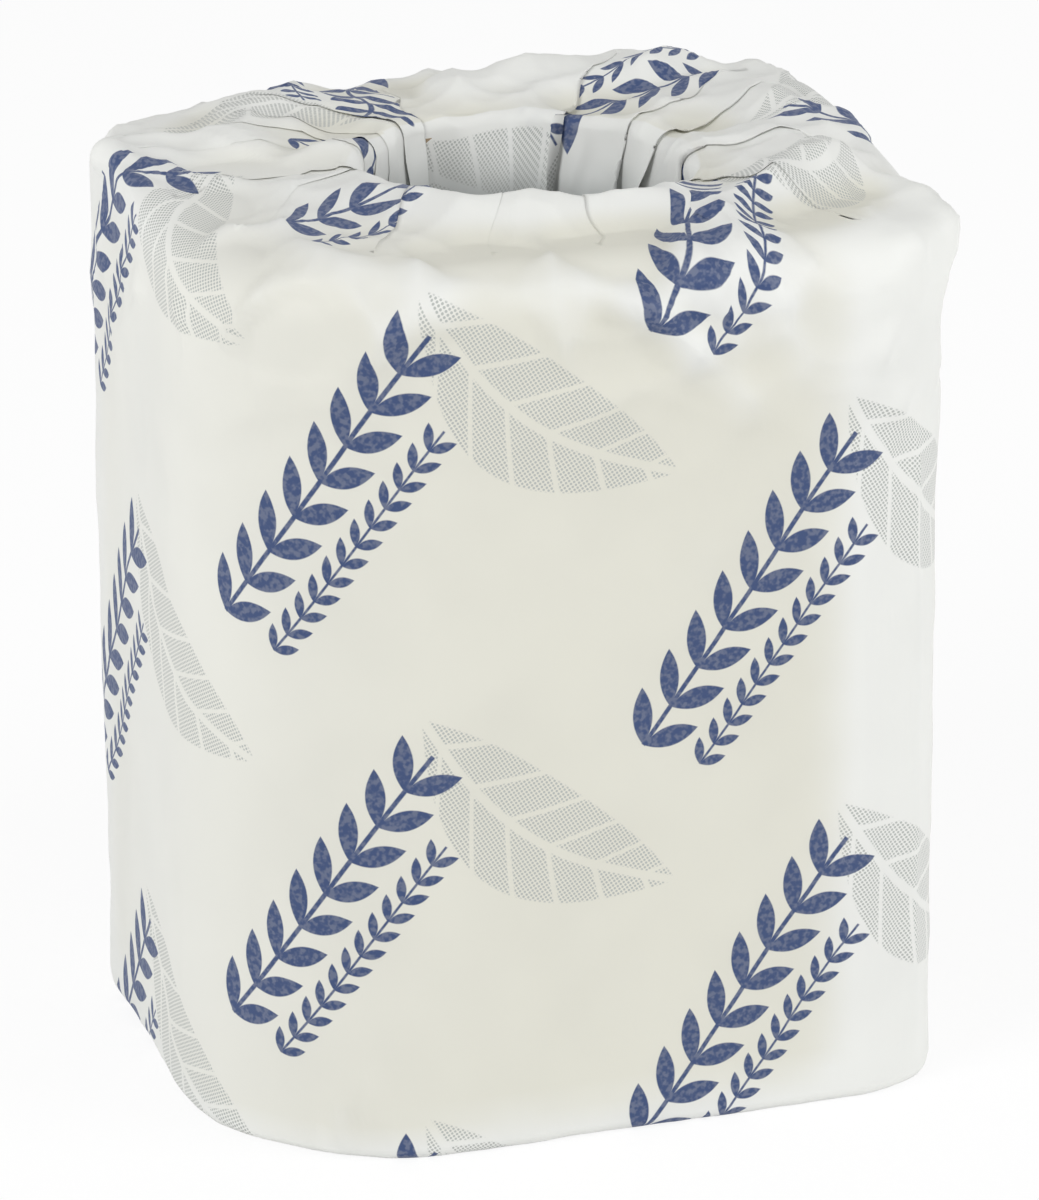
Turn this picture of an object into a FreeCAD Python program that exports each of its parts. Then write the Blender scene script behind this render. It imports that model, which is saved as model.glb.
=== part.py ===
import FreeCAD, Part
import math
import os

import Sketcher
from FreeCAD import Placement, Vector

# A toilet paper roll in its printed paper wrap. The tissue is squashed to a rounded square, a
# cardboard tube holds its hollow open, and the wrap is one thin sheet: a sleeve round the roll
# whose two ends are gathered in folds and tucked into the hollow.
# The part stands on its lower end. X runs along the wider side and the front faces -Y.

DOCUMENT = "wrapped_roll"
SHEET = "sizes"

# Driving sizes in millimetres, unless the name says otherwise
SIZES = {
    # tissue
    "roll_width": 91.7,
    "roll_depth": 82.9,
    "roll_height": 110.0,
    "front_right_round": 21.0,
    "back_right_round": 21.0,
    "back_left_round": 25.5,
    "front_left_round": 28.5,
    "upper_edge_round": 8.0,
    "lower_edge_round": 3.0,
    # cardboard tube
    "core_bore": 41.0,
    "core_wall": 0.6,
    "core_fit": 0.05,
    "core_recess": 1.0,
    "core_shift_x": 2.5,
    "core_shift_y": -2.0,
    # wrap
    "wrap_thickness": 0.25,
    "wrap_gap": 0.3,
    "wrap_corner": 17.0,
    "wrap_foot_corner": 9.0,
    "shoulder_round": 6.5,
    "foot_round": 1.6,
    "ear_direction_deg": 164.0,
    "ear_spread_deg": 22.0,
    "ear_share": 0.6,
    "lip_rise": 0.6,
    "front_lip_round": 3.6,
    "back_lip_round": 1.8,
    "back_direction_deg": 72.0,
    "fold_rise": 1.7,
    "fold_depth": 1.5,
    "fold_slant_deg": 3.0,
    "tuck_twist_deg": 18.0,
    "shoulder_crease": 0.5,
    "base_fold_rise": 0.6,
    "base_fold_reach": 9.0,
    "upper_tuck": 30.0,
    "lower_tuck": 26.0,
    "panel_step_deg": 6.5,
}

# The gathers about the hollow, one row to a fold: direction of its edge in degrees at the mouth and
# at the wall, share of the full rise, and the side its steep flank faces, 1 for larger angles
FOLDS = (
    (15, 21, 1.0, -1), (31, 33, 0.8, -1), (57, 56, 0.9, -1), (108, 100, 0.4, -1),
    (118, 158, 0.9, 1), (128, 166, 0.35, 1), (137, 174, 0.4, 1), (147, 183, 0.35, 1),
    (168, 200, 0.5, 1), (192, 212, 0.4, 1), (220, 228, 0.5, -1), (246, 246, 0.35, 1),
    (270, 268, 0.5, -1), (296, 290, 0.45, 1), (322, 313, 0.5, -1), (348, 342, 0.6, -1),
)

# Where air stands under the gathered end: direction and spread in degrees, place and reach as
# shares of the way from the lip out to the shoulder, and height in millimetres
SWELLS = (
    (30, 28, 0.75, 0.45, 3.0), (75, 28, 0.6, 0.4, 1.3), (115, 22, 0.55, 0.4, 1.4),
    (160, 20, 0.5, 0.4, 0.8), (205, 30, 0.2, 0.4, 2.0), (252, 42, 0.08, 0.38, 3.2),
    (330, 28, 0.3, 0.45, 2.0),
)


def make_sheet(doc):
    """Write every driving size to the spreadsheet, one named cell to a row."""
    sheet = doc.addObject("Spreadsheet::Sheet", SHEET)
    for row, (name, value) in enumerate(SIZES.items(), start=1):
        sheet.set("A%d" % row, name)
        sheet.set("B%d" % row, str(value))
        sheet.setAlias("B%d" % row, name)
    doc.recompute()
    return sheet


def base_plane(body, role):
    """The origin plane of a body that has the given role."""
    return next(item for item in body.Origin.OriginFeatures if item.Role == role)


def new_body(doc, label):
    body = doc.addObject("PartDesign::Body", label)
    body.Label = label
    return body


def floor_sketch(body, name, height):
    """An empty sketch parallel to the floor, at a height given as an expression."""
    sketch = body.newObject("Sketcher::SketchObject", name)
    sketch.AttachmentSupport = [(base_plane(body, "XY_Plane"), "")]
    sketch.MapMode = "FlatFace"
    sketch.setExpression("AttachmentOffset.Base.z", height)
    return sketch


def bind(sketch, constraint, name, expression):
    """Add a constraint and tie its value to the sheet."""
    index = sketch.addConstraint(constraint)
    sketch.renameConstraint(index, name)
    sketch.setExpression("Constraints." + name, expression)


def core_circle(sketch, sheet, name, radius, expression):
    """A circle about the hollow's axis, which lies off the middle of the squashed roll."""
    centre = Vector(sheet.core_shift_x, sheet.core_shift_y, 0)
    circle = sketch.addGeometry(Part.Circle(centre, Vector(0, 0, 1), radius), False)
    bind(sketch, Sketcher.Constraint("Radius", circle, radius), name, expression)
    bind(sketch, Sketcher.Constraint("DistanceX", -1, 1, circle, 3, centre.x),
         name + "_x", "sizes.core_shift_x")
    bind(sketch, Sketcher.Constraint("DistanceY", -1, 1, circle, 3, centre.y),
         name + "_y", "sizes.core_shift_y")


def corner_arc(x, y, radius, start_deg):
    """A quarter circle about (x, y)."""
    circle = Part.Circle(Vector(x, y, 0), Vector(0, 0, 1), radius)
    return Part.ArcOfCircle(circle, math.radians(start_deg), math.radians(start_deg + 90))


def roll_outline(sketch, sheet):
    """The squashed outline: four flats joined by four corners of different radius."""
    half_x = sheet.roll_width / 2
    half_y = sheet.roll_depth / 2
    fr, br = sheet.front_right_round, sheet.back_right_round
    bl, fl = sheet.back_left_round, sheet.front_left_round
    pieces = [
        Part.LineSegment(Vector(fl - half_x, -half_y, 0), Vector(half_x - fr, -half_y, 0)),
        corner_arc(half_x - fr, fr - half_y, fr, -90),
        Part.LineSegment(Vector(half_x, fr - half_y, 0), Vector(half_x, half_y - br, 0)),
        corner_arc(half_x - br, half_y - br, br, 0),
        Part.LineSegment(Vector(half_x - br, half_y, 0), Vector(bl - half_x, half_y, 0)),
        corner_arc(bl - half_x, half_y - bl, bl, 90),
        Part.LineSegment(Vector(-half_x, half_y - bl, 0), Vector(-half_x, fl - half_y, 0)),
        corner_arc(fl - half_x, fl - half_y, fl, 180),
    ]
    sketch.addGeometry(pieces, False)
    front, right, back, left = 0, 2, 4, 6
    for index in range(len(pieces)):
        following = (index + 1) % len(pieces)
        sketch.addConstraint(Sketcher.Constraint("Tangent", index, 2, following, 1))
    sketch.addConstraint(Sketcher.Constraint("Horizontal", front))
    sketch.addConstraint(Sketcher.Constraint("Vertical", right))
    corners = ((1, "front_right_round", fr), (3, "back_right_round", br),
               (5, "back_left_round", bl), (7, "front_left_round", fl))
    for arc, name, radius in corners:
        bind(sketch, Sketcher.Constraint("Radius", arc, radius), name, "sizes." + name)
    bind(sketch, Sketcher.Constraint("DistanceX", -1, 1, right, 1, half_x),
         "to_right", "sizes.roll_width / 2")
    bind(sketch, Sketcher.Constraint("DistanceX", left, 1, -1, 1, half_x),
         "to_left", "sizes.roll_width / 2")
    bind(sketch, Sketcher.Constraint("DistanceY", -1, 1, back, 1, half_y),
         "to_back", "sizes.roll_depth / 2")
    bind(sketch, Sketcher.Constraint("DistanceY", front, 1, -1, 1, half_y),
         "to_front", "sizes.roll_depth / 2")


def outer_edges(shape, height):
    """Names of the edges at one height that bound the roll's outside, not its bore."""
    names = []
    for number, edge in enumerate(shape.Edges, start=1):
        level = max(abs(vertex.Z - height) for vertex in edge.Vertexes) < 1e-6
        if level and not edge.isClosed():
            names.append("Edge%d" % number)
    return names


def round_edges(body, name, source, height, size):
    """Round the outer edges of a body that lie at one height."""
    fillet = body.newObject("PartDesign::Fillet", name)
    fillet.Base = (source, outer_edges(source.Shape, height))
    fillet.setExpression("Radius", "sizes." + size)
    body.Document.recompute()
    return fillet


def make_tissue_roll(doc, sheet):
    """All the turns of tissue as one block, with the bore that the tube fills."""
    body = new_body(doc, "tissue_roll")
    sketch = floor_sketch(body, "roll_section", "sizes.wrap_thickness + sizes.base_fold_rise")
    roll_outline(sketch, sheet)
    bore = sheet.core_bore / 2 + sheet.core_wall + sheet.core_fit
    core_circle(sketch, sheet, "bore", bore, "sizes.core_bore / 2 + sizes.core_wall + sizes.core_fit")
    pad = body.newObject("PartDesign::Pad", "wound_tissue")
    pad.Profile = sketch
    pad.setExpression("Length", "sizes.roll_height")
    doc.recompute()
    floor = sheet.wrap_thickness + sheet.base_fold_rise
    upper = round_edges(body, "upper_edge", pad, floor + sheet.roll_height, "upper_edge_round")
    round_edges(body, "lower_edge", upper, floor, "lower_edge_round")
    return body


def make_core_tube(doc, sheet):
    """The cardboard tube, a little shorter than the tissue at both ends."""
    body = new_body(doc, "core_tube")
    start = "sizes.wrap_thickness + sizes.base_fold_rise + sizes.core_recess"
    sketch = floor_sketch(body, "tube_section", start)
    inner = sheet.core_bore / 2
    core_circle(sketch, sheet, "inside", inner, "sizes.core_bore / 2")
    core_circle(sketch, sheet, "outside", inner + sheet.core_wall,
                "sizes.core_bore / 2 + sizes.core_wall")
    pad = body.newObject("PartDesign::Pad", "tube")
    pad.Profile = sketch
    pad.setExpression("Length", "sizes.roll_height - 2 * sizes.core_recess")
    doc.recompute()
    return body


def turn_between(first, second):
    """Smallest signed turn in degrees from the second direction to the first."""
    return (first - second + 180) % 360 - 180


class Wrap:
    """The paper sleeve as a net of flat panels between folds.

    Columns run from the tuck in the upper end, over the shoulder, down the wall, under the foot
    and into the tuck in the lower end. Each has a direction at the wall, another at the mouth, and
    a lift between 0, where the paper lies back in a valley, and 1, on the highest fold.
    """

    def __init__(self, sheet):
        self.size = sheet
        self.axis = Vector(sheet.core_shift_x, sheet.core_shift_y, 0)
        self.skin = sheet.wrap_thickness
        self.stand_off = sheet.wrap_gap + self.skin
        self.seat = self.skin + sheet.base_fold_rise
        self.roll_top = self.seat + sheet.roll_height
        self.flat = self.roll_top + self.stand_off
        self.bore = sheet.core_bore / 2 + sheet.core_wall + sheet.core_fit
        self.throat = sheet.core_bore / 2 - self.stand_off

    def columns(self):
        """Wall direction, mouth direction and lift of each column."""
        slant = self.size.fold_slant_deg
        found = []
        for index, (mouth, wall, lift, side) in enumerate(FOLDS):
            next_mouth, next_wall, next_lift, next_side = FOLDS[(index + 1) % len(FOLDS)]
            span = (next_mouth - mouth) % 360
            wall_span = (next_wall - wall) % 360
            first = slant if side > 0 else 0
            last = slant if next_side < 0 else 0
            panels = math.ceil((max(span, wall_span) - first - last) / self.size.panel_step_deg)
            places = [first + (span - first - last) * step / panels for step in range(panels + 1)]
            if first:
                found.append((wall, mouth, lift))
            for place in places[:len(places) if last else -1]:
                share = place / span
                rise = lift * (1 - share) ** 1.3 if side < 0 else 0
                rise += next_lift * share ** 1.3 if next_side > 0 else 0
                found.append((wall + share * wall_span, mouth + place, rise))
        return found

    def wall_distance(self, degrees, front_corner):
        """Distance from the hollow's axis to the outside of the wrap in one direction."""
        half_x = self.size.roll_width / 2 + self.stand_off
        half_y = self.size.roll_depth / 2 + self.stand_off
        ray = Vector(math.cos(math.radians(degrees)), math.sin(math.radians(degrees)), 0)
        rounds = {
            (1, -1): front_corner,
            (1, 1): self.size.back_right_round + self.stand_off,
            (-1, 1): self.size.back_left_round + self.stand_off,
            (-1, -1): self.size.front_left_round + self.stand_off,
        }
        reach_x = (math.copysign(half_x, ray.x) - self.axis.x) / ray.x if ray.x else math.inf
        reach_y = (math.copysign(half_y, ray.y) - self.axis.y) / ray.y if ray.y else math.inf
        reach = min(reach_x, reach_y)
        for (sign_x, sign_y), radius in rounds.items():
            centre = Vector(sign_x * (half_x - radius), sign_y * (half_y - radius), 0) - self.axis
            along = centre.dot(ray)
            inside = along * along - centre.dot(centre) + radius * radius
            if inside <= 0:
                continue
            touch = ray * (along + math.sqrt(inside)) - centre
            if touch.x * sign_x >= 0 and touch.y * sign_y >= 0:
                reach = min(reach, along + math.sqrt(inside))
        return reach

    def shoulder(self, degrees):
        """Shoulder radius, smaller where the paper stands off in an ear."""
        off = turn_between(degrees, self.size.ear_direction_deg)
        ear = math.exp(-(off / self.size.ear_spread_deg) ** 2)
        return self.size.shoulder_round * (1 - self.size.ear_share * ear)

    def lip(self, degrees):
        """Radius of the rolled lip, tight at the back and full at the front."""
        size = self.size
        share = 0.5 - 0.5 * math.cos(math.radians(degrees - size.back_direction_deg))
        return size.back_lip_round + (size.front_lip_round - size.back_lip_round) * share

    def swell(self, degrees, share):
        """Height of the air under the end at a share of the way from the lip to the shoulder."""
        fade = 1 - share ** 6
        total = self.size.lip_rise * (1 - share)
        for direction, spread, place, reach, height in SWELLS:
            off = turn_between(degrees, direction) / spread
            total += height * fade * math.exp(-off * off - ((share - place) / reach) ** 2)
        return total

    def upper_rows(self, wall_at, mouth_at, lift, depth):
        """Direction, distance and height of a column's points from the upper tuck to the shoulder."""
        size = self.size
        rows = []
        lip = self.lip(mouth_at)
        mouth = self.throat - size.fold_depth * lift
        crown = self.flat + self.swell(mouth_at, 0) + size.fold_rise * lift
        for share in (1.0, 0.45):
            rows.append((mouth_at + size.tuck_twist_deg * share, mouth + depth,
                         crown - lip - share * size.upper_tuck))
        for turn in (0, 35, 65, 90):
            angle = math.radians(turn)
            rows.append((mouth_at, mouth + lip - (lip - depth) * math.cos(angle),
                         crown - lip + (lip - depth) * math.sin(angle)))
        for share in (0.2, 0.42, 0.64, 0.84):
            turned = 0.5 + 0.5 * math.cos(share * math.pi)
            at = wall_at + turned * turn_between(mouth_at, wall_at)
            edge = self.wall_distance(at, size.wrap_corner) - self.shoulder(at)
            fade = math.cos(share * math.pi / 2) ** 1.5
            rows.append((at, mouth + lip + share * (edge - mouth - lip),
                         self.flat - depth + self.swell(at, share) + fade * size.fold_rise * lift))
        shoulder = self.shoulder(wall_at)
        edge = self.wall_distance(wall_at, size.wrap_corner) - shoulder
        for turn in (90, 60, 30, 0):
            angle = math.radians(turn)
            bend = shoulder - depth + size.shoulder_crease * lift * math.sin(2 * angle)
            rows.append((wall_at, edge + bend * math.cos(angle),
                         self.flat - shoulder + bend * math.sin(angle)))
        return rows

    def lower_rows(self, wall_at, mouth_at, lift, depth):
        """Direction, distance and height of a column's points from the foot to the lower tuck."""
        size = self.size
        rows = []
        wall = self.wall_distance(wall_at, size.wrap_foot_corner) - size.foot_round
        foot = size.foot_round - depth
        for turn in (0, 45, 90):
            angle = math.radians(turn)
            rows.append((wall_at, wall + foot * math.cos(angle),
                         size.foot_round - foot * math.sin(angle)))
        rows.append((mouth_at, self.bore + size.base_fold_reach, depth))
        mouth = self.throat - size.fold_depth * lift + depth
        sole = size.base_fold_rise * (1 - lift) + depth
        turn_in = self.bore - self.throat
        rows.append((mouth_at, self.bore, sole))
        rows.append((mouth_at, mouth + 0.3 * (self.bore - mouth), sole + 0.3 * turn_in))
        rows.append((mouth_at, mouth, sole + turn_in))
        rows.append((mouth_at + size.tuck_twist_deg, mouth, self.seat + size.lower_tuck))
        return rows

    def net(self, depth):
        """All the points at a depth under the paper's face, as a list of columns."""
        grid = []
        for wall_at, mouth_at, lift in self.columns():
            column = []
            rows = self.upper_rows(wall_at, mouth_at, lift, depth)
            rows += self.lower_rows(wall_at, mouth_at, lift, depth)
            for degrees, distance, height in rows:
                angle = math.radians(degrees)
                ray = Vector(math.cos(angle), math.sin(angle), 0)
                column.append(self.axis + ray * distance + Vector(0, 0, height))
            grid.append(column)
        return grid


def panel_faces(corners):
    """One flat face for four corners in a plane, and two for four that aren't."""
    first, second, third, fourth = corners
    normal = (second - first).cross(third - first)
    normal.normalize()
    if abs(normal.dot(fourth - first)) < 1e-7:
        return [Part.Face(Part.makePolygon([first, second, third, fourth, first]))]
    return [Part.Face(Part.makePolygon([first, second, third, first])),
            Part.Face(Part.makePolygon([first, third, fourth, first]))]


def ring_face(grid, outer, inner):
    """The flat ring between two rows of a net that lie in one plane."""
    loops = []
    for row in (outer, inner):
        points = [column[row] for column in grid]
        loops.append(Part.Wire(Part.makePolygon(points + points[:1])))
    return Part.makeFace(loops, "Part::FaceMakerBullseye").Faces[0]


def make_wrap(doc, sheet):
    """Two nets of panels a paper's thickness apart, closed along the edges of both tucks."""
    wrap = Wrap(sheet)
    front = wrap.net(0.0)
    back = wrap.net(wrap.skin)
    count = len(front)
    last_row = len(front[0]) - 1
    heights = [point.z for point in front[0]]
    flat_row = heights.index(min(heights))
    underside = ring_face(front, flat_row, flat_row + 1)
    underside.reverse()
    faces = [underside, ring_face(back, flat_row, flat_row + 1)]
    for index in range(count):
        following = (index + 1) % count
        for row in range(last_row):
            if row == flat_row:
                continue
            faces += panel_faces((front[index][row], front[following][row],
                                  front[following][row + 1], front[index][row + 1]))
            faces += panel_faces((back[index][row], back[index][row + 1],
                                  back[following][row + 1], back[following][row]))
        faces += panel_faces((front[index][0], back[index][0],
                              back[following][0], front[following][0]))
        faces += panel_faces((front[index][last_row], front[following][last_row],
                              back[following][last_row], back[index][last_row]))
    shell = Part.makeShell(faces)
    shell.sewShape()
    solid = Part.makeSolid(shell)
    if solid.Volume < 0:
        solid.reverse()
    feature = doc.addObject("Part::Feature", "wrapper")
    feature.Label = "wrapper"
    feature.Shape = solid
    feature.Placement = Placement()
    return feature


def check_and_export(doc, subparts):
    """Stop on any failed object or shape, then write one file for each sub-part."""
    doc.recompute()
    for item in doc.Objects:
        if {"Invalid", "Error"} & set(item.State):
            raise RuntimeError("%s is in state %s" % (item.Name, item.State))
    os.makedirs("parts", exist_ok=True)
    for item in subparts:
        shape = item.Shape
        if shape.isNull() or not shape.isValid() or len(shape.Solids) != 1:
            raise RuntimeError("%s has no single valid solid" % item.Label)
    for item in subparts:
        item.Shape.exportStep(os.path.join("parts", item.Label + ".step"))
        box = item.Shape.BoundBox
        print("%s: volume %.0f mm3, faces %d, box %.2f..%.2f, %.2f..%.2f, %.2f..%.2f" % (
            item.Label, item.Shape.Volume, len(item.Shape.Faces),
            box.XMin, box.XMax, box.YMin, box.YMax, box.ZMin, box.ZMax))


def main():
    doc = FreeCAD.newDocument(DOCUMENT)
    sheet = make_sheet(doc)
    subparts = [make_tissue_roll(doc, sheet), make_core_tube(doc, sheet), make_wrap(doc, sheet)]
    check_and_export(doc, subparts)


main()
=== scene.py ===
"""Looks of a wrapped toilet paper roll: a squashed roll in a thin printed sleeve with gathered ends."""

import logging
import math
from dataclasses import dataclass
from enum import Enum
from functools import partialmethod
from typing import Any

import bmesh
import bpy
import numpy as np
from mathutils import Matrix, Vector, noise


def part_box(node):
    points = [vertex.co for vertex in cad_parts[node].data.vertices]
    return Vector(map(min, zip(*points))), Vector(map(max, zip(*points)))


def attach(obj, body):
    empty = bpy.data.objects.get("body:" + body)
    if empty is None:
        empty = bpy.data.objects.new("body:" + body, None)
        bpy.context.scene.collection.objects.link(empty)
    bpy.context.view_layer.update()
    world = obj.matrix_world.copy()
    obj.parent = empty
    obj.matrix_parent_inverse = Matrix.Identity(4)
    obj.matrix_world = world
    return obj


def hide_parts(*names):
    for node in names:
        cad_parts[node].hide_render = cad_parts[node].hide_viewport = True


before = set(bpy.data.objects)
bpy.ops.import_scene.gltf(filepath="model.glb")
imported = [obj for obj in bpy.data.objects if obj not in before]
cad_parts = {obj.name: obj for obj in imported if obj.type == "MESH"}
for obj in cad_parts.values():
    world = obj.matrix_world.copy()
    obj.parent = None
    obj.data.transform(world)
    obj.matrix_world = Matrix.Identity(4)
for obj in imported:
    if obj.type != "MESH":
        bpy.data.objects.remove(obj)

LOG = logging.getLogger("wrapped_roll")
MM = 0.001
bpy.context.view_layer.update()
REPEATS_ROUND = 6
Array = np.ndarray
Net = dict[str, Array]
Inputs = dict[str | int, Any]
Colour = tuple[float, float, float, float]
WHITE: Colour = (1.0, 1.0, 1.0, 1.0)


def linear(red: int, green: int, blue: int) -> Colour:
    """A colour given as display values from 0 to 255, as the renderer wants it."""
    shares = (value / 255 for value in (red, green, blue))
    return (*(s / 12.92 if s <= 0.04045 else ((s + 0.055) / 1.055) ** 2.4 for s in shares), 1.0)


def bell(angle: Array, direction_deg: float, spread_deg: float) -> Array:
    """A smooth bump of 1 about a direction, for angles in radians."""
    off = (angle - math.radians(direction_deg) + math.pi) % math.tau - math.pi
    return np.exp(-(off / math.radians(spread_deg)) ** 2)


def smooth(share: Any) -> Any:
    """An even rise from 0 to 1 with flat ends."""
    return share * share * (3 - 2 * share)


def add_object(name: str, data: bpy.types.ID) -> bpy.types.Object:
    """Put an object with this data into the scene."""
    item = bpy.data.objects.new(name, data)
    bpy.context.collection.objects.link(item)
    return item


def add_mesh(name: str, mesh: bmesh.types.BMesh) -> bpy.types.Object:
    """Put an object with this mesh into the scene and free the mesh."""
    data = bpy.data.meshes.new(name)
    mesh.to_mesh(data)
    mesh.free()
    return add_object(name, data)


class Value:
    """One number socket of a shader, with arithmetic that adds Math nodes."""

    def __init__(self, recipe: "Recipe", socket: bpy.types.NodeSocket) -> None:
        """Wrap a socket of the recipe's tree."""
        self.recipe = recipe
        self.socket = socket

    def math(self, operation: str, *others: Any) -> "Value":
        """A Math node on this value and up to two more."""
        return self.recipe.math(operation, self, *others)

    __add__ = __radd__ = partialmethod(math, "ADD")
    __sub__ = partialmethod(math, "SUBTRACT")
    __mul__ = __rmul__ = partialmethod(math, "MULTIPLY")
    __truediv__ = partialmethod(math, "DIVIDE")
    __abs__ = partialmethod(math, "ABSOLUTE")

    def __rsub__(self, other: Any) -> "Value":
        """Difference from a number on the left."""
        return self.recipe.math("SUBTRACT", other, self)

    def wrap(self, low: float, high: float) -> "Value":
        """This value brought into a range by whole steps of its width."""
        return self.math("WRAP", high, low)

    def step(self, start: float, end: float) -> "Value":
        """A smooth rise or fall.

        Args:
            start: where the result is 0.
            end: where it is 1, above or below the start.

        Returns:
            A value from 0 to 1.
        """
        low, high, ends = (start, end, (0.0, 1.0)) if start < end else (end, start, (1.0, 0.0))
        inputs = {"Value": self, "From Min": low, "From Max": high, "To Min": ends[0], "To Max": ends[1]}
        return self.recipe.add("MapRange", inputs, interpolation_type="SMOOTHSTEP")


class Recipe:
    """The node tree of a material or a world while it is being put together."""

    def __init__(self, owner: bpy.types.Material | bpy.types.World) -> None:
        """Give the owner an empty tree.

        Args:
            owner: the new material or world.
        """
        self.owner = owner
        owner.use_nodes = True
        self.tree = owner.node_tree
        self.tree.nodes.clear()

    def add(self, kind: str, inputs: Inputs | None = None, output: str | int = 0,
            **settings: Any) -> Value:
        """Add a node.

        Args:
            kind: the node's type name after "ShaderNode".
            inputs: numbers, colours or Values by socket name or number.
            output: the output to return.
            settings: properties to set first.

        Returns:
            One of the node's outputs.
        """
        made = self.tree.nodes.new("ShaderNode" + kind)
        for key, value in settings.items():
            setattr(made, key, value)
        for key, value in (inputs or {}).items():
            if isinstance(value, Value):
                self.tree.links.new(value.socket, made.inputs[key])
            else:
                made.inputs[key].default_value = value
        return Value(self, made.outputs[output])

    def outputs(self, kind: str, inputs: Inputs | None = None) -> dict[str, Value]:
        """Add a node and return all its outputs by name."""
        node = self.add(kind, inputs).socket.node
        return {output.name: Value(self, output) for output in node.outputs}

    def math(self, operation: str, *operands: Any) -> Value:
        """A Math node on values or plain numbers."""
        return self.add("Math", dict(enumerate(operands)), operation=operation)

    def mix(self, share: Any, first: Any, second: Any, blend: str = "MIX") -> Value:
        """Mix two colours by a share from 0 to 1."""
        return self.add("Mix", {0: share, 6: first, 7: second}, 2, data_type="RGBA", blend_type=blend)

    def blend(self, share: Any, first: Value, second: Value) -> Value:
        """Mix two shaders by a share from 0 to 1."""
        return self.add("MixShader", {0: share, 1: first, 2: second})

    def bump(self, height: Value, strength: float, distance: float) -> Value:
        """The normal of a surface with this fine relief."""
        return self.add("Bump", {"Strength": strength, "Distance": distance, "Height": height})

    def skin(self, colour: Value, normal: Value, roughness: float, specular: float,
             sheen: float = 0.0) -> Value:
        """The shader of an ordinary opaque surface."""
        return self.add("BsdfPrincipled", {"Base Color": colour, "Normal": normal, "Roughness": roughness,
                                           "Specular IOR Level": specular, "Sheen Weight": sheen})

    def place(self) -> Value:
        """Place on the object, in metres."""
        return self.add("TexCoord", output="Object")

    def speckle(self, scale: float, detail: float, kind: str = "FBM") -> Value:
        """Noise fixed to the object."""
        inputs = {"Vector": self.place(), "Scale": scale, "Detail": detail}
        return self.add("TexNoise", inputs, noise_type=kind)

    def parts(self, vector: Value) -> list[Value]:
        """The three numbers of a vector."""
        return list(self.outputs("SeparateXYZ", {0: vector}).values())

    def seen(self) -> Value:
        """1 for the rays that show the background: straight, mirrored or through something."""
        path = self.outputs("LightPath")
        shown = path["Is Camera Ray"].math("MAXIMUM", path["Is Glossy Ray"])
        return shown.math("MAXIMUM", path["Is Transmission Ray"])

    def finish(self, shader: Value) -> bpy.types.Material | bpy.types.World:
        """Join the shader to the output and return the owner."""
        kind = "World" if isinstance(self.owner, bpy.types.World) else "Material"
        output = self.tree.nodes.new(f"ShaderNodeOutput{kind}")
        self.tree.links.new(shader.socket, output.inputs["Surface"])
        return self.owner


@dataclass(frozen=True)
class Sprig:
    """A leafy twig of the print, in millimetres on the flat sheet."""

    pitch: float
    leaf: float
    half_leaf: float
    stem: float
    length: float
    bend: float
    splay_deg: float = 40.0
    wave: float = 2.2
    soft: float = 0.09

    def mask(self, along: Value, across: Value) -> Value:
        """Where the twig is printed.

        Args:
            along: distance along the twig from its middle.
            across: distance beside it.

        Returns:
            1 on the ink and 0 beside it.
        """
        sway = across - self.bend * (along * (math.tau / (self.wave * self.length))).math("SINE")
        side = abs(sway)
        here = along.wrap(0.0, self.pitch)
        splay = math.radians(self.splay_deg)
        reach = here * math.cos(splay) + side * math.sin(splay)
        off = side * math.cos(splay) - here * math.sin(splay)
        middle = (reach / (self.leaf / 2)) - 1.0
        width = self.half_leaf * (1.0 - middle * middle)
        leaves = (abs(off) - width).step(self.soft, -self.soft)
        stem = (side - self.stem).step(self.soft, -self.soft)
        inside = (abs(along) - self.length / 2).step(self.soft, -self.soft)
        return leaves.math("MAXIMUM", stem) * inside


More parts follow.
